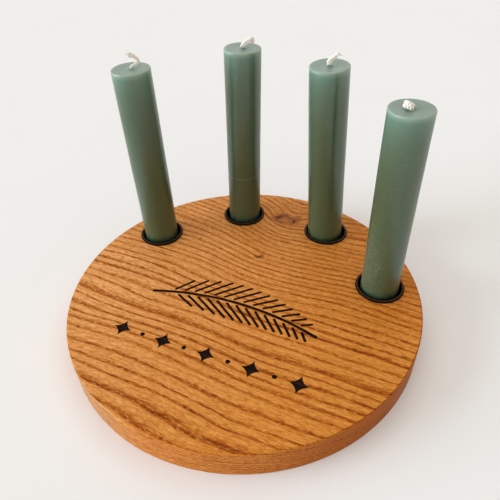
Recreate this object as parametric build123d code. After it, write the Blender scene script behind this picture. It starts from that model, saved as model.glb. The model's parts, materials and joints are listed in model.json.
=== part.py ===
from build123d import *
from math import atan2, cos, degrees, pi, radians, sin, tan
import os

# A round oak board with four black metal candle cups sunk into it along the back,
# a candle standing in each cup, and a cotton wick through each candle.
# Millimetres, +Z up. The origin is the centre of the board's underside, on the table.
# +X runs along the grain, and the cups stand along the back edge, towards +Y.

# Board: one plank, cut round, with both edges eased
board_diameter = 200.0
board_thickness = 18.0
board_edge_round = 0.8
wood_under_hole = 3.0

# Cups: spun sheet steel, closed below, with a rolled lip that sits on the board,
# in a row on an arc that is a little flatter than the board's back edge
cup_names = ["left", "back_left", "back_right", "right"]
cup_step_degrees = 42.0
cup_row_inset = 11.5
cup_arc_drop = 6.5
cup_wall = 0.7
cup_floor = 0.7
cup_corner_round = 1.2
lip_width = 1.85
lip_height = 1.3
lip_flare = 0.6
cup_fit_gap = 0.1
hole_end_gap = 0.3

# Candles: dipped wax, a little uneven in length, each leaning a little in its loose cup
candle_diameter = 21.0
candle_length = 126.0
candle_shortfalls = [2.5, 0.0, 2.5, 3.5]
candle_lean_degrees = [0.7, 1.5, 2.5, 0.3]
candle_lean_headings = [165.0, 45.0, 212.0, 180.0]
candle_gap = 1.5
candle_top_round = 0.6
candle_foot_round = 0.5
candle_seat_gap = 0.02

# Wicks: waxed cotton, straight through the candle, with a bent tip that stands out of the top
wick_diameter = 1.8
wick_fit_gap = 0.05
wick_tip_height = 8.0
wick_arc_share = 0.45
wick_exit_arc_share = 0.90
wick_tip_shares = [
    [(0, 0, 0.11), (0.55, 0.40, 0.40), (0.15, 0.11, 0.86), (-0.09, -0.07, 1.01)],
    [(0, 0, 0.10), (0.12, 0.05, 0.26), (0.44, 0.20, 0.46), (0.73, 0.33, 0.55)],
    [(0, 0, 0.10), (0.04, 0.01, 0.30), (0.21, 0.05, 0.49), (0.55, 0.14, 0.73)],
    [(0, 0, 0.11), (-0.36, -0.05, 0.32), (-0.25, -0.33, 0.42), (0.12, -0.30, 0.17)],
]

# Engraving: a fir sprig over a row of stars and dots, burnt into the front of the board
engraving_depth = 0.6
sprig_length = 98.0
sprig_bow = 8.0
sprig_center_share = -0.15
stem_width = 1.9
needle_width = 1.6
needle_length = 17.0
needle_length_shares = [0.70, 0.84, 0.94, 1, 1, 0.97, 0.92, 0.86, 0.79, 0.71, 0.62, 0.53, 0.43, 0.32]
needle_gap = 0.5
needle_first_share = 0.10
needle_last_share = 0.87
needle_degrees = 40.0
star_count = 5
star_reach = 5.6
star_waist_share = 0.48
star_pitch = 25.0
star_row_share = -0.50
dot_diameter = 2.6

# Cutting tools run this far past the surface that they cut
overrun = 1.0

# Sizes that follow from the ones above
board_radius = board_diameter / 2
candle_radius = candle_diameter / 2
wick_radius = wick_diameter / 2
bore_radius = candle_radius + candle_gap
cup_radius = bore_radius + cup_wall
lip_radius = bore_radius + lip_width
hole_radius = cup_radius + cup_fit_gap
hole_depth = board_thickness - wood_under_hole
cup_depth = hole_depth - hole_end_gap
bore_depth = cup_depth - cup_floor
cup_arc_radius = board_radius - cup_row_inset - lip_radius + cup_arc_drop


def cup_center(index):
    """Place of one cup on the board, from the left round the back to the right."""
    steps_from_back = (len(cup_names) - 1) / 2 - index
    heading = radians(90 + cup_step_degrees * steps_from_back)
    return cup_arc_radius * cos(heading), cup_arc_radius * sin(heading) - cup_arc_drop


def sprig_marks():
    """A bowed stem with a row of needles on each side, each needle a stroke of its own."""
    height = sprig_center_share * board_radius
    stem = ThreePointArc(
        (-sprig_length / 2, height - sprig_bow / 2),
        (0, height + sprig_bow / 2),
        (sprig_length / 2, height - sprig_bow / 2),
    )
    strokes = [SlotArc(stem, stem_width)]
    foot_offset = (stem_width / 2 + needle_gap + needle_width / 2) / sin(radians(needle_degrees))
    step_share = (needle_last_share - needle_first_share) / (len(needle_length_shares) - 1)
    for index, length_share in enumerate(needle_length_shares):
        length = needle_length * length_share
        needle = SlotCenterToCenter(length, needle_width)
        for side, shift in ((1, 0), (-1, step_share / 2)):
            station = needle_first_share + step_share * index + shift
            along = stem % station
            turn = degrees(atan2(along.Y, along.X)) + side * needle_degrees
            middle = stem @ station + Vector(foot_offset + length / 2, 0, 0).rotate(Axis.Z, turn)
            strokes.append(Pos(middle.X, middle.Y) * Rot(0, 0, turn) * needle)
    return strokes


def star_sketch():
    """A four-pointed star with hollow sides, about its own centre."""
    waist = star_reach * star_waist_share * cos(radians(45))
    points = [Vector(star_reach, 0, 0).rotate(Axis.Z, 90 * turn) for turn in range(4)]
    waists = [Vector(waist, waist, 0).rotate(Axis.Z, 90 * turn) for turn in range(4)]
    sides = [ThreePointArc(points[i], waists[i], points[(i + 1) % 4]) for i in range(4)]
    return make_face(sides)


def star_row_marks():
    """Stars in a row across the board, with a dot half way between each two."""
    height = star_row_share * board_radius
    marks = []
    for index in range(star_count):
        place = (index - (star_count - 1) / 2) * star_pitch
        marks.append(Pos(place, height) * star_sketch())
        if index:
            marks.append(Pos(place - star_pitch / 2, height) * Circle(dot_diameter / 2))
    return marks


def make_board():
    """The plank, with a blind hole for each cup and the engraving in its top."""
    board = Cylinder(board_radius, board_thickness, align=(Align.CENTER, Align.CENTER, Align.MIN))
    board = fillet(board.edges().filter_by(GeomType.CIRCLE), board_edge_round)
    hole = Cylinder(hole_radius, hole_depth + overrun, align=(Align.CENTER, Align.CENTER, Align.MIN))
    holes = [Pos(*cup_center(index), wood_under_hole) * hole for index in range(len(cup_names))]
    engraving_floor = Pos(0, 0, board_thickness - engraving_depth)
    cut_height = engraving_depth + overrun
    marks = sprig_marks() + star_row_marks()
    cuts = [extrude(engraving_floor * mark, amount=cut_height, dir=(0, 0, 1)) for mark in marks]
    return board - holes - cuts


def make_cup():
    """One cup about the Z axis, with the board's top face at height zero."""
    lip_round = lip_height / 2
    outer_round = cup_corner_round + cup_wall
    bend = 1 - cos(radians(45))
    outline = [
        Line((0, -cup_depth), (cup_radius - outer_round, -cup_depth)),
        ThreePointArc(
            (cup_radius - outer_round, -cup_depth),
            (cup_radius - outer_round * bend, -cup_depth + outer_round * bend),
            (cup_radius, -cup_depth + outer_round),
        ),
        Line((cup_radius, -cup_depth + outer_round), (cup_radius, 0)),
        Line((cup_radius, 0), (lip_radius - lip_round, 0)),
        ThreePointArc(
            (lip_radius - lip_round, 0), (lip_radius, lip_round), (lip_radius - lip_round, lip_height)
        ),
        Line((lip_radius - lip_round, lip_height), (bore_radius + lip_flare, lip_height)),
        ThreePointArc(
            (bore_radius + lip_flare, lip_height),
            (bore_radius + lip_flare * bend, lip_height - lip_flare * bend),
            (bore_radius, lip_height - lip_flare),
        ),
        Line((bore_radius, lip_height - lip_flare), (bore_radius, -bore_depth + cup_corner_round)),
        ThreePointArc(
            (bore_radius, -bore_depth + cup_corner_round),
            (bore_radius - cup_corner_round * bend, -bore_depth + cup_corner_round * bend),
            (bore_radius - cup_corner_round, -bore_depth),
        ),
        Line((bore_radius - cup_corner_round, -bore_depth), (0, -bore_depth)),
        Line((0, -bore_depth), (0, -cup_depth)),
    ]
    return revolve(Plane.XZ * make_face(outline), axis=Axis.Z)


def make_candle(length):
    """One candle about the Z axis, with its foot at height zero and the wick's channel through it."""
    wax = Cylinder(candle_radius, length, align=(Align.CENTER, Align.CENTER, Align.MIN))
    rims = wax.edges().filter_by(GeomType.CIRCLE).sort_by(Axis.Z)
    wax = fillet(rims[-1], candle_top_round)
    rims = wax.edges().filter_by(GeomType.CIRCLE).sort_by(Axis.Z)
    wax = fillet(rims[0], candle_foot_round)
    channel_length = length + 2 * overrun
    return wax - Pos(0, 0, length / 2) * Cylinder(wick_radius + wick_fit_gap, channel_length)


def make_wick(name, length, tip_shares):
    """One wick from its candle's foot, up the channel and out into its bent tip."""
    top = Vector(0, 0, length)
    route = [Vector(0, 0, 0)] + [top + Vector(*share) * wick_tip_height for share in tip_shares]
    runs = [end - start for start, end in zip(route, route[1:])]
    tangents = [wick_arc_share * min(a.length, b.length) for a, b in zip(runs, runs[1:])]
    tangents[0] = wick_exit_arc_share * (route[1] - top).length
    half_turns = [radians(a.get_angle(b)) / 2 for a, b in zip(runs, runs[1:])]
    radii = [tangent / tan(half_turn) for tangent, half_turn in zip(tangents, half_turns)]
    path = FilletPolyline(*route, radius=radii)
    wick = sweep(Plane.XY * Circle(wick_radius), path=path)
    tube_volume = pi * wick_radius**2 * path.length
    print(
        f"wick_{name}: bend radii {[round(r, 1) for r in radii]} mm, length {path.length:.1f} mm, "
        f"volume {wick.volume / tube_volume:.3f} of section times length"
    )
    return wick


def seat(index):
    """Where one candle stands: on its cup's floor, leaning on one edge of its foot."""
    lean = radians(candle_lean_degrees[index])
    foot_reach = candle_radius - candle_foot_round
    rise = foot_reach * sin(lean) + candle_foot_round * (1 - cos(lean)) + candle_seat_gap
    heading = candle_lean_headings[index]
    tilt = Rot(0, 0, heading) * Rot(0, candle_lean_degrees[index], 0) * Rot(0, 0, -heading)
    return Pos(*cup_center(index), board_thickness - bore_depth + rise) * tilt


os.makedirs("parts", exist_ok=True)
export_step(make_board(), "parts/board.step")
for index, name in enumerate(cup_names):
    length = candle_length - candle_shortfalls[index]
    cup = Pos(*cup_center(index), board_thickness) * make_cup()
    candle = seat(index) * make_candle(length)
    wick = seat(index) * make_wick(name, length, wick_tip_shares[index])
    export_step(cup, f"parts/cup_{name}.step")
    export_step(candle, f"parts/candle_{name}.step")
    export_step(wick, f"parts/wick_{name}.step")
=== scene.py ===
import json
import random
from math import cos, exp, pi, radians, sin

import bpy
from mathutils import Matrix, Vector, noise


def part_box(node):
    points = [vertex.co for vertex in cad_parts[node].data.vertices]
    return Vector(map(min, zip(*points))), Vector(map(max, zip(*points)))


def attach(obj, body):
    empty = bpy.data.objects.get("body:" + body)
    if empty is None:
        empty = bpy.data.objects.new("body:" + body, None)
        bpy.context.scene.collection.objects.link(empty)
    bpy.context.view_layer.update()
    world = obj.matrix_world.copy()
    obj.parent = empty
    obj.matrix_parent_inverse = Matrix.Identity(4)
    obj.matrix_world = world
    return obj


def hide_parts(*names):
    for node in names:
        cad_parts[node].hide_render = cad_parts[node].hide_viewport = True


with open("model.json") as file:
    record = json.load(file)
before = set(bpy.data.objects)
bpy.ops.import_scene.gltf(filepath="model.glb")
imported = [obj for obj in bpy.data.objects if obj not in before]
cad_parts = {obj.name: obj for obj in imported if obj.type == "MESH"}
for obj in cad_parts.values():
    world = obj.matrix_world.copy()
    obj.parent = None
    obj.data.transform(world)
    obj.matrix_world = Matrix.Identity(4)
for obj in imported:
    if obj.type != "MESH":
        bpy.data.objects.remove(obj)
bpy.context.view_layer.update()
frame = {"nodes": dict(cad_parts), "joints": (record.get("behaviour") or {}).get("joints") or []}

# A round oak board with four black metal cups, a green wax candle in each cup
# and a plaited wick in each candle.
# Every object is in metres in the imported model's frame. Patterns are worked out in millimetres.

MM = 0.001
CANDLES = ["left", "back_left", "back_right", "right"]

# Camera, at the photograph's angle
CAMERA_PLACE = (0.08766, -0.18598, 0.22014)
CAMERA_PAN = radians(23.99)
CAMERA_DOWN = radians(39.94)
CAMERA_ROLL = radians(-2.256)
CAMERA_LENS = 35.62

# Room: its light below the horizon's rise and above the overhead rise, as shares of straight up
HORIZON_COLOR = (0.83, 0.81, 0.775, 1.0)
HORIZON_RISE = 0.12
OVERHEAD_COLOR = (0.17, 0.16, 0.145, 1.0)
OVERHEAD_RISE = 0.42
FLOOR_SIZE = 8.0

# Lamps: the side that each shines from, its height and spread in degrees, its power and its colour
LAMPS = {
    "window": ((-0.84, -0.54), 8, 40, 4.2, (0.83, 0.97, 1.15)),
    "ceiling": ((0.50, -0.85), 76, 100, 1.75, (1.0, 0.98, 0.95)),
    "wall": ((-0.41, 0.91), 30, 60, 0.6, (1.0, 0.98, 0.95)),
}

# Board: its size and where the engraving ends towards the back, in mm
BOARD_TOP = 18.0
BOARD_RADIUS = 100.0
ENGRAVING_BACK = 15.0

# Oak: its rings run about the tree's pith, far below the board and in front of it, in mm
GRAIN_SLOPE = 0.035
PITH_ACROSS = -400.0
PITH_UP = -1200.0
RING_WIDTH = 1.65

# Grain's lines near the back: how far they dip to the front and tilt, and how far that reaches
DIP_DEPTH = 11.0
DIP_REACH = 34.0
TILT_DEPTH = 6.5
TILT_REACH = 38.0

# Knots: a large one at the back and a pin knot nearer the middle
KNOT_X = 0.5
KNOT_Y = 73.5
PIN_X = -3.0
PIN_Y = 30.5

# Bends of the lines round the knots, as x, y, depth and reach
KNOT_BENDS = [(KNOT_X + 1.5, KNOT_Y - 1, 8.0, 15.0), (PIN_X, PIN_Y + 1, 1.6, 5.0)]

# Dark hearts of the knots, as x, y, half length and half width
KNOT_HEARTS = [(-5.0, 74.5, 3.2, 2.0), (5.6, 73.5, 2.0, 3.2), (PIN_X, PIN_Y, 1.9, 1.9)]

# Fibres: how far each pattern of them darkens and lightens the oak
FIBRE_STAINS = [
    ("broad", 0.88, 1.12),
    ("fibre", 0.91, 1.08),
    ("streak", 0.87, 1.12),
    ("fleck", 0.84, 1.14),
    ("fine", 0.88, 1.12),
]

# Cups: radius of the lip's crest, along which a highlight is painted, in mm
LIP_CREST = 12.95

# Candles: one is modelled at full length, and each copy is cut to its own length, in mm
CANDLE_SIDES = 96
CANDLE_RADIUS = 10.5
CANDLE_LENGTH = 126.0
CHANNEL_RADIUS = 0.95
TOP_ROUND = 0.6
TOP_STEPS = 6
FOOT_ROUND = 0.5
FOOT_STEPS = 3
BODY_RINGS = 54
WELD_DISTANCE = 0.02
CANDLE_GIRTHS = {"left": 1.01, "back_left": 1.0, "back_right": 1.03, "right": 1.02}

# Points of a CAD candle this near to its lowest one, in mm, are its foot
FOOT_SLICE = 0.05

# Radius and depth of each ring of a candle's dished top, and depths of the rings down its channel
TOP_DISH = [
    (9.6, 0.0), (9.2, 0.01), (8.3, 0.03), (7.2, 0.11), (5.8, 0.22),
    (4.4, 0.31), (3.1, 0.35), (2.2, 0.30), (1.5, 0.12), (1.1, -0.12),
]
CHANNEL_DEPTHS = [-0.2, 2.0, CANDLE_LENGTH / 2, CANDLE_LENGTH]

# Wax: how far the painted glow fades down from the top, and how the painted pale sheen on the cut top grows
# from the wick outwards
GLOW_DEPTH = 9.0
CUT_AT_WICK = 0.3
CUT_PER_MM = 0.075

# Unevenness of the wax, in mm, and how far apart the candles' patterns are drawn
WAVE_HEIGHT = 0.10
DIMPLE_HEIGHT = 0.010
TOP_WAVE_HEIGHT = 0.12
PATTERN_SHIFT = 60.0

# Seam round one candle: its height above the table and up the candle, its slope, depth and reach
SEAM_HEIGHT = 52.6
SEAM_UP_CANDLE = 47.5
SEAM_SLOPE = 0.03
SEAM_DEPTH = 0.10
SEAM_REACH = 1.6

# Lump on one candle, placed from the foot of its axis
LUMP_PLACE = Vector((9.8, 3.9, 107.5))
LUMP_HEIGHT = 0.55
LUMP_REACH = 3.4

# Wicks: control points of each tip from the top of its candle's axis, in mm
WICK_TIPS = {
    "left": [(0, 0, 0.9), (3.0, 2.2, 1.9), (4.1, 3.0, 4.0), (1.2, 0.9, 7.0), (-0.2, -0.2, 8.1)],
    "back_left": [(0, 0, 0.8), (0.9, 0.4, 2.0), (3.5, 1.6, 3.7), (5.8, 2.6, 4.4)],
    "back_right": [(0, 0, 1.1), (0.1, 0.0, 2.3), (1.7, 0.4, 3.9), (4.4, 1.1, 5.8)],
    "right": [(0, 0, 0.9), (-3.0, -0.4, 1.8), (-2.3, -2.5, 2.4), (1.1, -2.3, 1.1)],
}

# How thick each tip is along its length, as (share of the tip, thickness) pairs
WICK_GIRTHS = {
    "left": [(0, 1.15), (0.3, 1.15), (0.7, 1.25), (1, 1.5)],
    "back_left": [(0, 1.5), (0.3, 2.1), (0.8, 2.2), (1, 1.9)],
    "back_right": [(0, 1.7), (0.22, 2.2), (0.5, 1.5), (1, 1.6)],
    "right": [(0, 1.4), (0.35, 2.1), (0.7, 2.2), (1, 1.9)],
}

# Where each of the three strands pulls away to at the frayed end, in mm
WICK_PULLS = {
    "left": [(-1.1, -0.8, 0.6), (0.0, 0.0, 1.2), (-1.4, -1.0, -1.3)],
    "back_left": [(0.1, 0.0, 0.9), (0.8, 0.4, 0.1), (0.2, 0.1, -0.8)],
    "back_right": [(0.2, 0.0, 1.5), (-0.1, 0.0, 1.2), (2.0, 0.5, -0.3)],
    "right": [(0.2, -0.2, 0.5), (0.4, 0.0, 0.0), (-0.1, -0.3, -0.3)],
}

# Line of a wick: where it starts, how finely it is drawn, and the steps that it is followed in, in mm
WICK_FOOT = 0.2
LINE_RESOLUTION = 48
COARSE_STEP = 0.55
FINE_STEP = 0.16
FINE_BELOW_TOP = 1.5

# Height above the candle, in mm, over which the finish counts its share of the tip
TIP_HEIGHT = 6.0

# Plait: its strands cross and its yarns twist once in each step, in mm. Its heading is in radians.
STRANDS = 3
YARNS_PER_STRAND = 7
YARN_RADIUS = 0.16
STRAND_RADIUS = 0.25
PLAIT_STEP = 3.6
PLAIT_HALF_WIDTH = 0.44
PLAIT_HALF_DEPTH = 0.21
PLAIT_HEADING = 0.4
TWIST_STEP = 5.2

# Frayed end: how much of the tip is undone, and how its yarns end early, stray and taper
UNDONE_SHARE = 0.34
EARLY_END_SHARE = 0.16
YARN_STRAY = 0.42
YARN_END_GIRTH = 0.35
YARN_TAPER_STEPS = 9


def srgb(red, green, blue):
    """A colour picked on a 0 to 255 scale, as the linear colour that a shader works in."""
    shares = [value / 255 for value in (red, green, blue)]
    linear = [s / 12.92 if s <= 0.04045 else ((s + 0.055) / 1.055) ** 2.4 for s in shares]
    return (*linear, 1.0)


class Finish:
    """One material, with short calls for the nodes that its look is mixed from. Lengths are in mm."""

    def __init__(self, name):
        self.material = bpy.data.materials.new(name)
        self.material.use_nodes = True
        self.nodes = self.material.node_tree.nodes
        self.links = self.material.node_tree.links
        self.shader = self.nodes["Principled BSDF"]
        metres = self.nodes.new("ShaderNodeTexCoord").outputs["Object"]
        self.place = self.stretch(metres, (MM, MM, MM))

    def feed(self, socket, value):
        """Links a socket to a node's output, or sets it to a plain value."""
        if isinstance(value, bpy.types.NodeSocket):
            self.links.new(value, socket)
        else:
            socket.default_value = value

    def set(self, name, value):
        """Links or sets one of the shader's own sockets."""
        self.feed(self.shader.inputs[name], value)

    def maths(self, operation, *values):
        node = self.nodes.new("ShaderNodeMath")
        node.operation = operation
        for socket, value in zip(node.inputs, values):
            self.feed(socket, value)
        return node.outputs[0]

    def add(self, *values):
        total = values[0]
        for value in values[1:]:
            total = self.maths("ADD", total, value)
        return total

    def times(self, *values):
        product = values[0]
        for value in values[1:]:
            product = self.maths("MULTIPLY", product, value)
        return product

    def length(self, a, b):
        """Length of a straight line that goes a one way and b square to it."""
        return self.maths("SQRT", self.add(self.times(a, a), self.times(b, b)))

    def distance(self, x, y, center_x, center_y, half_length=1.0, half_width=1.0):
        """How far a place is from a centre, counted in a half length and a half width."""
        along = self.times(self.add(x, -center_x), 1 / half_length)
        across = self.times(self.add(y, -center_y), 1 / half_width)
        return self.length(along, across)

    def bell(self, value):
        """e to the power of minus the value squared: 1 at zero, falling away to both sides."""
        return self.maths("POWER", 2.718, self.times(value, value, -1.0))

    def stretch(self, vector, sizes):
        """The place counted in steps of the given sizes."""
        node = self.nodes.new("ShaderNodeMapping")
        self.feed(node.inputs["Vector"], vector)
        node.inputs["Scale"].default_value = [1 / size for size in sizes]
        return node.outputs[0]

    def split(self, vector):
        node = self.nodes.new("ShaderNodeSeparateXYZ")
        self.feed(node.inputs[0], vector)
        return node.outputs[0], node.outputs[1], node.outputs[2]

    def join(self, x, y, z):
        node = self.nodes.new("ShaderNodeCombineXYZ")
        for socket, value in zip(node.inputs, (x, y, z)):
            self.feed(socket, value)
        return node.outputs[0]

    def noise(self, vector, sizes, detail=2.0, roughness=0.5):
        """Cloudy noise from 0 to 1, whose lumps have about the given sizes."""
        node = self.nodes.new("ShaderNodeTexNoise")
        self.feed(node.inputs["Vector"], self.stretch(vector, sizes))
        node.inputs["Scale"].default_value = 1.0
        node.inputs["Detail"].default_value = detail
        node.inputs["Roughness"].default_value = roughness
        return node.outputs[0]

    def flecks(self, vector, sizes, detail=2.0):
        """The same noise drawn apart, so that most places are near 0 or near 1."""
        return self.fade(self.noise(vector, sizes, detail), 0.33, 0.67)

    def chance(self, value):
        """A number from 0 to 1 drawn afresh for each value."""
        node = self.nodes.new("ShaderNodeTexWhiteNoise")
        node.noise_dimensions = "1D"
        self.feed(node.inputs["W"], value)
        return node.outputs["Value"]

    def sway(self, vector, sizes, reach, detail=1.0):
        """Noise about zero, out to roughly plus and minus the reach."""
        return self.maths("MULTIPLY_ADD", self.noise(vector, sizes, detail), 4 * reach, -2 * reach)

    def cells(self, vector, sizes):
        """Distance to the nearest of many scattered points, counted in steps of the given sizes."""
        node = self.nodes.new("ShaderNodeTexVoronoi")
        self.feed(node.inputs["Vector"], self.stretch(vector, sizes))
        node.inputs["Scale"].default_value = 1.0
        return node.outputs["Distance"]

    def attribute(self, name):
        """A number that each point of the piece's mesh carries."""
        node = self.nodes.new("ShaderNodeAttribute")
        node.attribute_name = name
        return node.outputs["Fac"]

    def fade(self, value, start, end):
        """Rises smoothly from 0 at start to 1 at end."""
        node = self.nodes.new("ShaderNodeMapRange")
        node.interpolation_type = "SMOOTHSTEP"
        self.feed(node.inputs["Value"], value)
        node.inputs["From Min"].default_value = start
        node.inputs["From Max"].default_value = end
        return node.outputs[0]

    def between(self, value, low, high):
        """A share from 0 to 1 spread from low to high."""
        node = self.nodes.new("ShaderNodeMapRange")
        self.feed(node.inputs["Value"], value)
        node.inputs["To Min"].default_value = low
        node.inputs["To Max"].default_value = high
        return node.outputs[0]

    def ramp(self, value, stops):
        """Colour along a row of (place, colour) stops."""
        node = self.nodes.new("ShaderNodeValToRGB")
        self.feed(node.inputs[0], value)
        elements = node.color_ramp.elements
        while len(elements) < len(stops):
            elements.new(1.0)
        for element, (position, color) in zip(elements, stops):
            element.position = position
            element.color = color
        return node.outputs[0]

    def mix(self, share, low, high, blend="MIX"):
        """The low colour at a share of 0 and, at 1, the high one or what the blend makes of both."""
        node = self.nodes.new("ShaderNodeMix")
        node.data_type = "RGBA"
        node.blend_type = blend
        self.feed(node.inputs[0], share)
        self.feed(node.inputs[6], low)
        self.feed(node.inputs[7], high)
        return node.outputs[2]

    def tint(self, color, by):
        """The colour times another one, channel by channel."""
        return self.mix(1.0, color, by, "MULTIPLY")

    def dim(self, color, share):
        """The colour times a share, all channels alike."""
        return self.tint(color, self.join(share, share, share))

    def stain(self, color, share, low, high):
        """The colour times low to high, reddening as it darkens and paling as it lightens."""
        tints = [(level**0.6, level, level**2, 1.0) for level in (low, high)]
        return self.tint(color, self.mix(share, *tints))

    def relief(self, height, depth):
        """Fine relief, its height from 0 to 1 standing for a depth in mm."""
        node = self.nodes.new("ShaderNodeBump")
        node.inputs["Strength"].default_value = 1.0
        node.inputs["Distance"].default_value = depth * MM
        self.feed(node.inputs["Height"], height)
        self.set("Normal", node.outputs[0])


# Oak of the board

def grain_flow(oak, x, y):
    """Distance across the grain, whose lines sway, and dip to the front round the knot at the back."""
    sway = oak.add(oak.sway(oak.place, (110, 55, 55), 4.0), oak.sway(oak.place, (38, 15, 15), 0.9))
    across = oak.add(y, oak.times(x, GRAIN_SLOPE), sway)
    nearness = oak.fade(y, -40, 62)
    spread = oak.times(x, 1 / DIP_REACH)
    dip = oak.maths("DIVIDE", DIP_DEPTH, oak.maths("MULTIPLY_ADD", spread, spread, 1.0))
    tilt = oak.times(oak.maths("TANH", oak.times(x, 1 / TILT_REACH)), TILT_DEPTH)
    across = oak.add(across, oak.times(oak.add(dip, tilt), nearness))
    for knot_x, knot_y, depth, reach in KNOT_BENDS:
        bend = oak.bell(oak.distance(x, y, knot_x, knot_y, reach, reach))
        across = oak.maths("MULTIPLY_ADD", bend, depth, across)
    return across


def oak_fibres(oak, grain):
    """Patterns drawn out along the grain, from broad bands to fine fibres, and the gaps in its lines."""
    return {
        "broad": oak.noise(grain, (60, 22, 22), 2),
        "fibre": oak.flecks(grain, (30, 1.3, 1.3), 3),
        "streak": oak.flecks(grain, (10, 0.95, 0.95)),
        "fleck": oak.flecks(grain, (3.2, 0.8, 0.8)),
        "fine": oak.noise(grain, (4.5, 0.3, 0.3), 2),
        "gaps": oak.flecks(grain, (11, 1.5, 1.5)),
    }


def ring_lines(oak, across, up, fibres):
    """Dark lines of the rings about the pith, uneven in width and strength, ragged and broken."""
    radius = oak.length(oak.add(across, -PITH_ACROSS), oak.add(up, -PITH_UP))
    radius = oak.add(radius, oak.sway(oak.join(radius, 0.0, 0.0), (7, 1, 1), 1.0, 2))
    ragged = oak.add(radius, oak.times(fibres["streak"], 0.10), oak.times(fibres["fleck"], 0.14))
    turns = oak.times(ragged, 1 / RING_WIDTH)
    ring = oak.maths("FLOOR", turns)
    phase = oak.maths("FRACT", turns)
    width = oak.between(oak.chance(ring), 0.25, 0.56)
    strength = oak.between(oak.chance(oak.add(ring, 0.5)), 0.55, 1.0)

    # One ring, from its porous start to its dense end
    porous = oak.maths("SUBTRACT", 1.0, oak.fade(oak.maths("DIVIDE", phase, width), 0.1, 1.0))
    dense = oak.fade(phase, 0.86, 1.0)
    line = oak.maths("MAXIMUM", porous, oak.times(dense, 0.6))
    return oak.times(line, strength, oak.between(fibres["gaps"], 0.55, 1.0))


def plank_color(oak, grain, fibres, line, pores):
    """Colour of the plain grain, from its rings, fibres, pale flecks and pores."""
    color = oak.ramp(line, [
        (0.0, srgb(218, 147, 78)),
        (0.3, srgb(194, 117, 44)),
        (0.65, srgb(160, 80, 12)),
        (1.0, srgb(120, 50, 2)),
    ])
    for name, low, high in FIBRE_STAINS:
        color = oak.stain(color, fibres[name], low, high)
    pale = oak.fade(oak.noise(grain, (2.6, 0.75, 0.75), 1), 0.56, 0.68)
    color = oak.mix(oak.times(pale, 0.55), color, srgb(228, 172, 112))
    return oak.mix(oak.times(pores, 0.85), color, srgb(104, 42, 3))


def knot_color(oak, color, x, y):
    """The colour with a knot at the back, which has two dark hearts, and a pin knot nearer the middle."""
    ragged_x = oak.add(x, oak.sway(oak.place, (7, 6, 6), 2.2))
    ragged_y = oak.add(y, oak.sway(oak.place, (5, 6, 8), 1.8))
    knot = oak.fade(oak.distance(ragged_x, ragged_y, KNOT_X, KNOT_Y, 10.5, 6.5), 1.3, 0.6)
    swirl = oak.ramp(oak.noise(oak.place, (4.5, 2.6, 4), 3, 0.65), [
        (0.34, srgb(120, 66, 32)),
        (0.5, srgb(160, 94, 46)),
        (0.66, srgb(196, 126, 68)),
    ])
    color = oak.mix(oak.times(knot, 0.85), color, swirl)
    for heart in KNOT_HEARTS:
        apart = oak.distance(ragged_x, ragged_y, *heart)
        color = oak.mix(oak.times(oak.fade(apart, 2.1, 1.2), 0.45), color, srgb(160, 84, 34))
        color = oak.mix(oak.times(oak.fade(apart, 1.2, 0.4), 0.85), color, srgb(90, 42, 12))
    return color


def side_tint(oak, x):
    """Tint round the side: the ends of the grain drink more oil and are darker, with painted shade making
    them darker and more saturated to the right, and the long grain has a painted pale, bluish sheen towards
    the left.
    """
    end_grain = oak.fade(oak.times(x, x, 1 / BOARD_RADIUS**2), 0.05, 0.75)
    # Painted sheen: the long grain turns pale and bluish towards the left
    long_tint_with_painted_sheen = oak.mix(oak.fade(x, -42, -5), (0.82, 0.95, 1.45, 1.0), (0.92, 0.87, 0.78, 1.0))
    # End grain darkened by oil, with painted shade making it darker and more saturated to the right
    end_grain_tint_with_painted_shade = oak.mix(oak.fade(x, -30, 30), (0.72, 0.54, 0.16, 1.0), (0.66, 0.46, 0.05, 1.0))
    return oak.mix(end_grain, long_tint_with_painted_sheen, end_grain_tint_with_painted_shade)


def burnt_share(oak, y, z, rim):
    """1 on the floor and walls of the marks cut into the top, 0 elsewhere."""
    below = oak.fade(z, BOARD_TOP - 0.05, BOARD_TOP - 0.16)
    shallow = oak.fade(z, BOARD_TOP - 3.0, BOARD_TOP - 2.0)
    inside = oak.fade(rim, BOARD_RADIUS - 2.0, BOARD_RADIUS - 4.0)
    front = oak.fade(y, ENGRAVING_BACK + 1.0, ENGRAVING_BACK - 1.0)
    return oak.times(below, shallow, inside, front)


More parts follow.
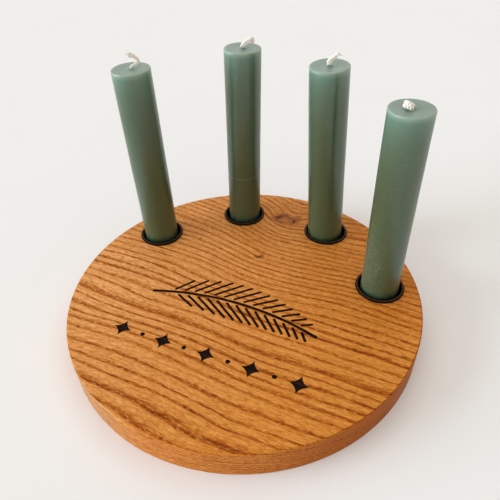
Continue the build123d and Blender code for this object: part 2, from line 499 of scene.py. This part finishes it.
def oak_finish():
    """Oiled flat-sawn oak: dark porous rings, fine fibres, a knot at the back and burnt engraving."""
    oak = Finish("oiled_oak")
    x, y, z = oak.split(oak.place)
    rim = oak.length(x, y)
    across = grain_flow(oak, x, y)
    grain = oak.join(x, across, z)
    fibres = oak_fibres(oak, grain)

    # The lines soften to the back, and their pores are the darkest
    to_back = oak.fade(y, -15, 45)
    line = oak.times(ring_lines(oak, across, z, fibres), oak.between(to_back, 1.0, 0.82))
    pores = oak.fade(oak.noise(grain, (3.4, 0.6, 0.6), 1), 0.54, 0.64)
    pores = oak.times(pores, oak.between(line, 0.35, 1.0))
    color = plank_color(oak, grain, fibres, line, pores)

    # Painted light: the plank is paler and bluer to the left, a painted sheen on the window side, and darker
    # and more saturated to the right and browner to the back, painted shade
    painted_window_light_share = oak.fade(oak.add(oak.times(x, -0.95), oak.times(y, 0.3)), -75, 95)
    color = oak.tint(color, oak.mix(painted_window_light_share, (0.89, 0.76, 0.42, 1.0), (1.06, 1.09, 1.17, 1.0)))
    color = oak.tint(color, oak.mix(to_back, (1.0, 1.0, 1.0, 1.0), (0.95, 0.90, 0.78, 1.0)))
    color = knot_color(oak, color, x, y)

    side = oak.fade(rim, BOARD_RADIUS - 0.9, BOARD_RADIUS - 0.2)
    color = oak.mix(side, color, oak.tint(color, side_tint(oak, x)))
    burnt = burnt_share(oak, y, z, rim)
    char = oak.mix(oak.fade(fibres["fibre"], 0.35, 0.7), srgb(20, 12, 8), srgb(44, 25, 14))
    oak.set("Base Color", oak.mix(burnt, color, char))

    rough = oak.between(fibres["fibre"], 0.42, 0.54)
    oak.set("Roughness", oak.add(rough, oak.times(pores, 0.12), oak.times(burnt, 0.3)))
    oak.set("Specular IOR Level", 0.08)
    raised = oak.add(oak.times(fibres["fine"], 0.35), oak.times(fibres["fleck"], 0.2))
    oak.relief(oak.add(raised, oak.times(pores, -0.9), oak.times(line, -0.25)), 0.02)
    return oak.material


# Other finishes

def from_cup_axis(finish, x, y):
    """Distance to the nearest cup's axis."""
    out = BOARD_RADIUS
    for name in CANDLES:
        low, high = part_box(f"cup_{name}")
        axis_x = (low[0] + high[0]) / 2 / MM
        axis_y = (low[1] + high[1]) / 2 / MM
        out = finish.maths("MINIMUM", finish.distance(x, y, axis_x, axis_y), out)
    return out


def black_finish():
    """Black lacquer on sheet steel, a little uneven, with a painted warm-brown highlight along the lip's
    crest that stands for the wood's reflection.
    """
    black = Finish("black_lacquer")
    x, y, z = black.split(black.place)
    cloud = black.noise(black.place, (6, 6, 6), 3)
    grit = black.noise(black.place, (0.5, 0.5, 0.5), 2)
    off_crest = black.maths("ABSOLUTE", black.add(from_cup_axis(black, x, y), -LIP_CREST))
    crest = black.times(black.fade(off_crest, 0.34, 0.10), black.fade(z, BOARD_TOP + 1.0, BOARD_TOP + 1.2))
    # Painted highlight: a patchy warm-brown line on the lip's crest, standing for the wood's reflection
    painted_lip_light_and_shade = black.times(crest, black.between(black.noise(black.place, (2.4, 2.4, 2.4), 3, 0.6), 0.2, 1.0))
    color = black.mix(cloud, srgb(5, 4, 3), srgb(12, 8, 6))
    color = black.mix(painted_lip_light_and_shade, color, srgb(116, 78, 60))
    black.set("Base Color", color)
    black.set("Roughness", black.add(black.between(cloud, 0.27, 0.34), black.times(painted_lip_light_and_shade, 0.1)))
    black.set("Specular IOR Level", 0.05)
    black.relief(black.add(black.times(grit, 0.6), black.times(cloud, 0.4)), 0.03)
    return black.material


def speckled(wax, color, x, z):
    """The colour with patches of pale specks, and a dusty bloom low on the right candle."""
    patch = wax.fade(wax.noise(wax.place, (11, 11, 16), 2), 0.46, 0.68)
    specks = wax.times(wax.fade(wax.cells(wax.place, (2.1, 2.1, 2.1)), 0.20, 0.10), patch)
    color = wax.mix(wax.times(specks, 0.3), color, srgb(176, 196, 180))
    dust = wax.fade(wax.noise(wax.place, (1.2, 1.2, 1.6), 3, 0.65), 0.42, 0.66)
    bloom = wax.times(wax.fade(x, 52, 60), wax.fade(x, 80, 66), wax.fade(z, 80, 40), dust)
    return wax.mix(wax.times(bloom, 0.32), color, srgb(136, 146, 132))


def seam_share(wax, x, y, z, cloud):
    """How much of the pale seam shows, which only the back left candle has."""
    on_back_left = wax.times(wax.fade(x, -43, -41), wax.fade(x, -15, -17), wax.fade(y, 50, 52))
    from_seam = wax.add(z, wax.times(x, -SEAM_SLOPE), -SEAM_HEIGHT)
    seam = wax.times(wax.fade(wax.maths("ABSOLUTE", from_seam), 0.45, 0.15), on_back_left)
    return wax.times(seam, wax.between(cloud, 0.15, 0.5))


def wax_finish():
    """Sage-green wax that light sinks into, speckled, with a painted glow down from the top, a painted pale
    sheen on the cut top, a painted highlight round its rim and painted shade about the cup's lip.
    """
    wax = Finish("sage_wax")
    x, y, z = wax.split(wax.place)
    cut = wax.attribute("cut_top")
    cloud = wax.noise(wax.place, (16, 16, 34), 3)
    mottle = wax.noise(wax.place, (2.2, 2.2, 3.4), 3, 0.6)
    color = wax.mix(cloud, srgb(60, 80, 52), srgb(70, 91, 61))
    # Painted glow: the wax is lighter and tealer down from the top, for light that enters through the top
    color = wax.mix(wax.times(wax.attribute("top_glow"), 0.65), color, srgb(110, 150, 130))
    color = wax.dim(color, wax.between(mottle, 0.93, 1.07))
    color = speckled(wax, color, x, z)
    color = wax.mix(seam_share(wax, x, y, z, cloud), color, srgb(150, 162, 146))
    # Painted sheen: the cut top is paler and greyer, more so towards its rim, for the light and reflection
    # that it catches
    color = wax.mix(wax.times(cut, 0.75), color, srgb(136, 148, 135))
    # Painted highlight: a pale line round the rim of the top
    color = wax.mix(wax.times(wax.attribute("top_rim"), 0.3), color, srgb(176, 184, 170))
    pits = wax.fade(wax.cells(wax.place, (5, 5, 6)), 0.08, 0.04)
    color = wax.mix(wax.times(pits, 0.75), color, srgb(30, 38, 24))
    # Painted shade: a dark, patchy band from inside the cup to just above its lip, where the cup shades the
    # wax
    below_lip = wax.fade(z, BOARD_TOP + 4.5, BOARD_TOP + 0.5)
    above_foot = wax.fade(z, BOARD_TOP - 9, BOARD_TOP - 1)
    painted_lip_light_and_shade = wax.times(below_lip, above_foot, wax.between(mottle, 0.4, 0.8))
    color = wax.mix(painted_lip_light_and_shade, color, srgb(26, 32, 18))
    wax.set("Base Color", color)
    wax.set("Roughness", wax.add(wax.between(cloud, 0.265, 0.34), wax.times(cut, 0.2)))
    wax.set("Specular IOR Level", 0.85)
    wax.set("Subsurface Weight", 1.0)
    wax.set("Subsurface Radius", (1.0, 0.8, 0.5))
    wax.set("Subsurface Scale", 2.2 * MM)
    knife = wax.times(wax.noise(wax.place, (9, 0.5, 9), 2), cut)
    wax.relief(wax.add(wax.times(mottle, 0.05), wax.times(knife, 0.8)), 0.02)
    return wax.material


def cotton_finish():
    """Undyed cotton, fibrous, waxy and a little green where it leaves the candle."""
    cotton = Finish("waxed_cotton")
    fluff = cotton.noise(cotton.place, (0.35, 0.35, 0.35), 3, 0.6)
    stain = cotton.noise(cotton.place, (1.6, 1.6, 1.6), 2)
    color = cotton.mix(fluff, srgb(224, 214, 200), srgb(240, 232, 221))
    color = cotton.dim(color, cotton.between(stain, 0.94, 1.04))
    soaked = cotton.fade(cotton.attribute("tip_share"), 0.16, 0.0)
    color = cotton.mix(cotton.times(soaked, 0.55), color, srgb(150, 168, 140))
    cotton.set("Base Color", color)
    cotton.set("Roughness", cotton.between(fluff, 0.62, 0.85))
    cotton.set("Specular IOR Level", 0.3)
    cotton.relief(fluff, 0.04)
    return cotton.material


def floor_finish():
    """Plain pale table top, faintly clouded."""
    pale = Finish("pale_table")
    cloud = pale.noise(pale.place, (160, 160, 160), 2)
    pale.set("Base Color", pale.mix(cloud, srgb(235, 232, 228), srgb(239, 236, 233)))
    pale.set("Roughness", pale.between(cloud, 0.5, 0.6))
    pale.set("Specular IOR Level", 0.0)
    return pale.material


# Pieces

def give_finish(piece, material):
    piece.data.materials.clear()
    piece.data.materials.append(material)


def deselect():
    bpy.ops.object.select_all(action="DESELECT")


def copy_of(piece, name):
    """A copy with its own mesh."""
    copy = piece.copy()
    copy.data = piece.data.copy()
    copy.name = name
    copy.data.name = name
    bpy.context.scene.collection.objects.link(copy)
    return copy


def axis_frame(node_name, joint_name):
    """Matrix that stands a piece on a candle's foot along its lean, and the candle's length in mm."""
    joint = next(joint for joint in frame["joints"] if joint["name"] == joint_name)
    axis = Vector(joint["axis"]).normalized()
    points = [vertex.co.copy() for vertex in frame["nodes"][node_name].data.vertices]
    heights = [axis.dot(point) for point in points]
    lowest = min(heights)
    foot = [point for point, height in zip(points, heights) if height < lowest + FOOT_SLICE * MM]
    corners = [[pick(point[side] for point in foot) for side in range(3)] for pick in (min, max)]
    middle = (Vector(corners[0]) + Vector(corners[1])) / 2
    turn = Vector((0, 0, 1)).rotation_difference(axis).to_matrix().to_4x4()
    return Matrix.Translation(middle) @ turn, (max(heights) - lowest) / MM


def candle_outline():
    """Radius and height of a candle's rings, from its channel's foot up the outside and back down, in mm."""
    rings = [(CHANNEL_RADIUS, 0), (CANDLE_RADIUS / 2, 0)]
    for step in range(FOOT_STEPS + 1):
        turn = pi / 2 * step / FOOT_STEPS
        rings.append((CANDLE_RADIUS - FOOT_ROUND * (1 - sin(turn)), FOOT_ROUND * (1 - cos(turn))))
    straight = CANDLE_LENGTH - TOP_ROUND - FOOT_ROUND
    for step in range(1, BODY_RINGS):
        rings.append((CANDLE_RADIUS, FOOT_ROUND + straight * step / BODY_RINGS))
    for step in range(TOP_STEPS + 1):
        turn = pi / 2 * step / TOP_STEPS
        height = CANDLE_LENGTH - TOP_ROUND * (1 - sin(turn))
        rings.append((CANDLE_RADIUS - TOP_ROUND * (1 - cos(turn)), height))
    rings += [(radius, CANDLE_LENGTH - depth) for radius, depth in TOP_DISH]
    rings += [(CHANNEL_RADIUS, CANDLE_LENGTH - depth) for depth in CHANNEL_DEPTHS]
    return rings


def model_candle():
    """One full-length candle about the upright axis, drawn up ring by ring and closed along its channel."""
    rings = [(radius * MM, height * MM) for radius, height in candle_outline()]
    deselect()
    bpy.ops.mesh.primitive_circle_add(vertices=CANDLE_SIDES, radius=rings[0][0], location=(0, 0, 0))
    candle = bpy.context.object
    bpy.ops.object.mode_set(mode="EDIT")
    bpy.ops.mesh.select_all(action="SELECT")
    for (radius, height), (next_radius, next_height) in zip(rings, rings[1:]):
        rise = next_height - height
        widen = next_radius / radius
        bpy.ops.mesh.extrude_region_move(TRANSFORM_OT_translate={"value": (0, 0, rise)})
        bpy.ops.transform.resize(value=(widen, widen, 1), center_override=(0, 0, 0))
    bpy.ops.mesh.select_all(action="SELECT")
    bpy.ops.mesh.remove_doubles(threshold=WELD_DISTANCE * MM)
    bpy.ops.mesh.normals_make_consistent(inside=False)
    bpy.ops.object.mode_set(mode="OBJECT")
    bpy.ops.object.shade_smooth()
    mark_top(candle)
    return candle


def mark_top(candle):
    """Marks a candle's cut top, the rim round it and the glow that fades down its side, where the finish
    paints a pale sheen, a highlight and a glow.
    """
    names = ("cut_top", "top_rim", "top_glow")
    marks = [candle.data.attributes.new(name, "FLOAT", "POINT") for name in names]
    for index, vertex in enumerate(candle.data.vertices):
        out = Vector((vertex.co.x, vertex.co.y)).length / MM
        drop = CANDLE_LENGTH - vertex.co.z / MM
        on_top = drop < 2 * TOP_ROUND and out < CANDLE_RADIUS - TOP_ROUND / 2
        on_rim = drop < TOP_ROUND and out > CANDLE_RADIUS - TOP_ROUND
        cut_share = min(1.0, CUT_AT_WICK + CUT_PER_MM * out) if on_top else 0.0
        shares = (cut_share, float(on_rim), exp(-max(drop, 0.0) / GLOW_DEPTH))
        for mark, share in zip(marks, shares):
            mark.data[index].value = share


def own_mark(name, place, skin):
    """How far a candle's own mark stands out: a pressed seam on one candle, a lump on another."""
    if name == "back_left":
        from_seam = abs(place.z - SEAM_UP_CANDLE - SEAM_SLOPE * place.x)
        return -SEAM_DEPTH * skin * max(0.0, 1 - from_seam / SEAM_REACH)
    if name == "right":
        from_lump = (place - LUMP_PLACE).length
        return LUMP_HEIGHT * max(0.0, 1 - (from_lump / LUMP_REACH) ** 2) ** 2
    return 0.0


def uneven_wax(candle, name):
    """Slow waves and shallow dimples in a candle's skin, and the mark that it has of its own."""
    shift = Vector((0, 0, PATTERN_SHIFT * CANDLES.index(name)))
    for vertex in candle.data.vertices:
        place = vertex.co / MM
        out = Vector((place.x, place.y, 0))
        if out.length < 2 * CHANNEL_RADIUS:
            continue
        slow = noise.noise(Vector((out.x / 9, out.y / 9, place.z / 26)) + shift)
        quick = noise.noise(Vector((out.x / 3, out.y / 3, place.z / 5)) + shift)
        if place.z > CANDLE_LENGTH / 2 and out.length < CANDLE_RADIUS - TOP_ROUND:
            vertex.co.z += TOP_WAVE_HEIGHT * slow * MM
            continue
        skin = out.length / CANDLE_RADIUS
        swell = skin * (WAVE_HEIGHT * slow + DIMPLE_HEIGHT * quick) + own_mark(name, place, skin)
        vertex.co += out.normalized() * swell * MM


def make_candles(material):
    """Copies of the one candle, each cut to its length, made uneven and stood in its cup."""
    pattern = model_candle()
    straight = CANDLE_LENGTH - FOOT_ROUND - TOP_ROUND
    for name in CANDLES:
        candle = copy_of(pattern, f"wax_{name}")
        stand, length = axis_frame(f"candle_{name}", f"candle_{name}_lift")
        for vertex in candle.data.vertices:
            body_share = (vertex.co.z / MM - FOOT_ROUND) / straight
            vertex.co.z -= (CANDLE_LENGTH - length) * MM * min(max(body_share, 0.0), 1.0)
            vertex.co.x *= CANDLE_GIRTHS[name]
            vertex.co.y *= CANDLE_GIRTHS[name]
        uneven_wax(candle, name)
        candle.data.transform(stand)
        give_finish(candle, material)
        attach(candle, f"candle_{name}")
        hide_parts(f"candle_{name}")
    bpy.data.objects.remove(pattern)


def line_through(controls):
    """Points along a smooth spline with these control points."""
    data = bpy.data.curves.new("wick_line", "CURVE")
    data.dimensions = "3D"
    data.resolution_u = LINE_RESOLUTION
    spline = data.splines.new("NURBS")
    spline.points.add(len(controls) - 1)
    for point, control in zip(spline.points, controls):
        point.co = (*control, 1.0)
    spline.order_u = 3
    spline.use_endpoint_u = True
    holder = bpy.data.objects.new("wick_line", data)
    mesh = bpy.data.meshes.new_from_object(holder)
    points = [vertex.co.copy() for vertex in mesh.vertices]
    bpy.data.objects.remove(holder)
    bpy.data.curves.remove(data)
    bpy.data.meshes.remove(mesh)
    return points


def even_steps(points, coarse, fine, fine_length):
    """Stations along a line: coarse steps at first and fine steps over its last stretch."""
    marks = [0.0]
    for a, b in zip(points, points[1:]):
        marks.append(marks[-1] + (b - a).length)
    total = marks[-1]
    wanted = []
    at = 0.0
    while at < total:
        wanted.append(at)
        at += fine if at > total - fine_length else coarse
    wanted.append(total)
    stations = []
    leg = 0
    for at in wanted:
        while leg < len(points) - 2 and marks[leg + 1] < at:
            leg += 1
        share = (at - marks[leg]) / (marks[leg + 1] - marks[leg])
        stations.append((at, points[leg].lerp(points[leg + 1], share)))
    return stations


def side_frames(stations):
    """Two sideways directions at each station, carried along the line without twisting."""
    frames = []
    side = Vector((cos(PLAIT_HEADING), sin(PLAIT_HEADING), 0))
    for index in range(len(stations)):
        before = stations[max(index - 1, 0)][1]
        after = stations[min(index + 1, len(stations) - 1)][1]
        ahead = (after - before).normalized()
        side = (side - ahead * side.dot(ahead)).normalized()
        frames.append((side, ahead.cross(side)))
    return frames


def girth_at(girths, share):
    """Thickness at a share of the tip, from the pairs given."""
    for (start, low), (end, high) in zip(girths, girths[1:]):
        if share <= end:
            return low + (high - low) * (share - start) / (end - start)
    return girths[-1][1]


def off_center(at, side, over, strand, yarn):
    """How far one yarn runs from the middle of a tight plait, at a distance along it."""
    turn = 2 * pi * (at / PLAIT_STEP + strand / STRANDS)
    twist = 2 * pi * (at / TWIST_STEP + yarn / YARNS_PER_STRAND)
    sideways = PLAIT_HALF_WIDTH * sin(turn) + STRAND_RADIUS * cos(twist)
    upward = PLAIT_HALF_DEPTH * sin(2 * turn) + STRAND_RADIUS * sin(twist)
    return side * sideways + over * upward


def plait_yarns(name, stations, tip_length):
    """Paths of the yarns of a plait that comes undone towards its end, with the girth at each point."""
    draw = random.Random(f"wick {name}")
    frames = side_frames(stations)
    total = stations[-1][0]
    undone_from = total - UNDONE_SHARE * tip_length
    yarns = []
    for strand in range(STRANDS):
        pull = Vector(WICK_PULLS[name][strand])
        for yarn in range(YARNS_PER_STRAND):
            stray = Vector((draw.uniform(-1, 1), draw.uniform(-1, 1), draw.uniform(-1, 1))) * YARN_STRAY
            end = total - draw.uniform(0.0, EARLY_END_SHARE) * tip_length
            path = []
            for (at, center), (side, over) in zip(stations, frames):
                if at > end:
                    break
                share = max(0.0, 1 - (total - at) / tip_length)
                girth = girth_at(WICK_GIRTHS[name], share) if share else 1.0
                loose = max(0.0, (at - undone_from) / (total - undone_from))
                place = center + off_center(at, side, over, strand, yarn) * girth
                place += (pull + stray) * loose**2
                path.append((place, girth))
            yarns.append(path)
    return yarns


def plait_curve(name, stations, tip_length):
    """The yarns of one wick as round curves that taper to their ends."""
    data = bpy.data.curves.new(f"plait_{name}", "CURVE")
    data.dimensions = "3D"
    data.bevel_depth = YARN_RADIUS
    data.bevel_resolution = 1
    data.use_fill_caps = True
    for path in plait_yarns(name, stations, tip_length):
        spline = data.splines.new("POLY")
        spline.points.add(len(path) - 1)
        for index, (point, (place, girth)) in enumerate(zip(spline.points, path)):
            taper = YARN_END_GIRTH + (1 - YARN_END_GIRTH) * (len(path) - index) / YARN_TAPER_STEPS
            point.co = (*place, 1.0)
            point.radius = girth * min(1.0, taper)
    return data


def make_wick(name, material):
    """A plaited wick from its candle's foot to its frayed tip."""
    stand, length = axis_frame(f"candle_{name}", f"candle_{name}_lift")
    top = Vector((0, 0, length))
    tip = [top + Vector(point) for point in WICK_TIPS[name]]
    below_exit = tip[0] - Vector((0, 0, (tip[1] - tip[0]).length))
    line = line_through([Vector((0, 0, WICK_FOOT)), below_exit] + tip)
    tip_length = sum((b - a).length for a, b in zip(line, line[1:])) - length
    stations = even_steps(line, COARSE_STEP, FINE_STEP, tip_length + FINE_BELOW_TOP)
    wick = bpy.data.objects.new(f"plait_{name}", plait_curve(name, stations, tip_length))
    bpy.context.scene.collection.objects.link(wick)
    deselect()
    wick.select_set(True)
    bpy.context.view_layer.objects.active = wick
    bpy.ops.object.convert(target="MESH")
    wick = bpy.context.object
    rise = wick.data.attributes.new("tip_share", "FLOAT", "POINT")
    for vertex, value in zip(wick.data.vertices, rise.data):
        value.value = max(0.0, (vertex.co.z - length) / TIP_HEIGHT)
    wick.data.transform(stand @ Matrix.Scale(MM, 4))
    bpy.ops.object.shade_smooth()
    give_finish(wick, material)
    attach(wick, f"candle_{name}")
    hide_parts(f"wick_{name}")


def dress_frame(oak, black):
    """The board and cups keep their own shapes and get their finishes."""
    give_finish(frame["nodes"]["board"], oak)
    for name in CANDLES:
        give_finish(frame["nodes"][f"cup_{name}"], black)


# Stage, light and camera

def make_floor(material):
    deselect()
    bpy.ops.mesh.primitive_plane_add(size=FLOOR_SIZE, location=(0, 0, 0))
    floor = bpy.context.object
    floor.name = "table"
    give_finish(floor, material)


def add_soft_sun(name, toward, height, spread, power, color):
    """Even light from one side: its compass direction, height and spread in degrees."""
    data = bpy.data.lights.new(name, "SUN")
    data.energy = power
    data.angle = radians(spread)
    data.color = color
    lamp = bpy.data.objects.new(name, data)
    level = Vector((*toward, 0)).normalized() * cos(radians(height))
    source = Vector((level.x, level.y, sin(radians(height))))
    lamp.rotation_euler = (-source).to_track_quat("-Z", "Y").to_euler()
    bpy.context.scene.collection.objects.link(lamp)


def light_scene():
    """A pale studio, dimmer overhead, with a broad low window at the left and a pale wall behind."""
    world = bpy.data.worlds.new("pale_room")
    bpy.context.scene.world = world
    world.use_nodes = True
    nodes = world.node_tree.nodes
    links = world.node_tree.links
    toward = nodes.new("ShaderNodeSeparateXYZ")
    links.new(nodes.new("ShaderNodeTexCoord").outputs["Generated"], toward.inputs[0])
    sky = nodes.new("ShaderNodeValToRGB")
    sky.color_ramp.elements[0].position = HORIZON_RISE
    sky.color_ramp.elements[0].color = HORIZON_COLOR
    sky.color_ramp.elements[1].position = OVERHEAD_RISE
    sky.color_ramp.elements[1].color = OVERHEAD_COLOR
    links.new(toward.outputs["Z"], sky.inputs[0])
    links.new(sky.outputs[0], nodes["Background"].inputs["Color"])
    for name, settings in LAMPS.items():
        add_soft_sun(name, *settings)
    bpy.context.scene.view_settings.view_transform = "Standard"


def place_camera():
    data = bpy.data.cameras.new("camera")
    data.lens = CAMERA_LENS
    camera = bpy.data.objects.new("camera", data)
    bpy.context.scene.collection.objects.link(camera)
    turn = Matrix.Rotation(CAMERA_PAN, 4, "Z") @ Matrix.Rotation(pi / 2 - CAMERA_DOWN, 4, "X")
    turn = turn @ Matrix.Rotation(CAMERA_ROLL, 4, "Z")
    camera.matrix_world = Matrix.Translation(CAMERA_PLACE) @ turn
    bpy.context.scene.camera = camera


dress_frame(oak_finish(), black_finish())
make_candles(wax_finish())
cotton = cotton_finish()
for candle_name in CANDLES:
    make_wick(candle_name, cotton)
make_floor(floor_finish())
light_scene()
place_camera()
